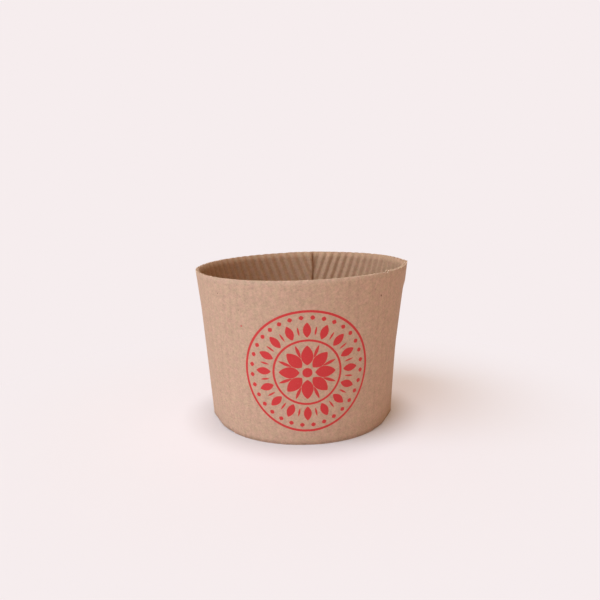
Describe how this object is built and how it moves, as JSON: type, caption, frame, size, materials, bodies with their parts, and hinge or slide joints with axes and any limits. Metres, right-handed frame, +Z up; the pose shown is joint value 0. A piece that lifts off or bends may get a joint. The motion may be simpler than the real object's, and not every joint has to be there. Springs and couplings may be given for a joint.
{
  "type": "coffee cup sleeve",
  "caption": "Corrugated kraft board sleeve, folded and glued into a tapered ring that slides up a takeaway cup and keeps the hand off the heat.",
  "frame": {"origin": "middle of the sleeve's outside, on the plane of the bottom edge that it stands on", "axes": "+Z up towards the wide edge, -Y the printed front, +Y the glued lap, X through the two side creases"},
  "size_m": [0.079, 0.0792, 0.059],
  "materials": {
    "kraft_board": "uncoated brown kraft, dull, with a faint washboard of flutes under the liner and one red ink printed on the front"
  },
  "bodies": {
    "root": {"sleeve": "kraft_board"}
  },
  "joints": []
}
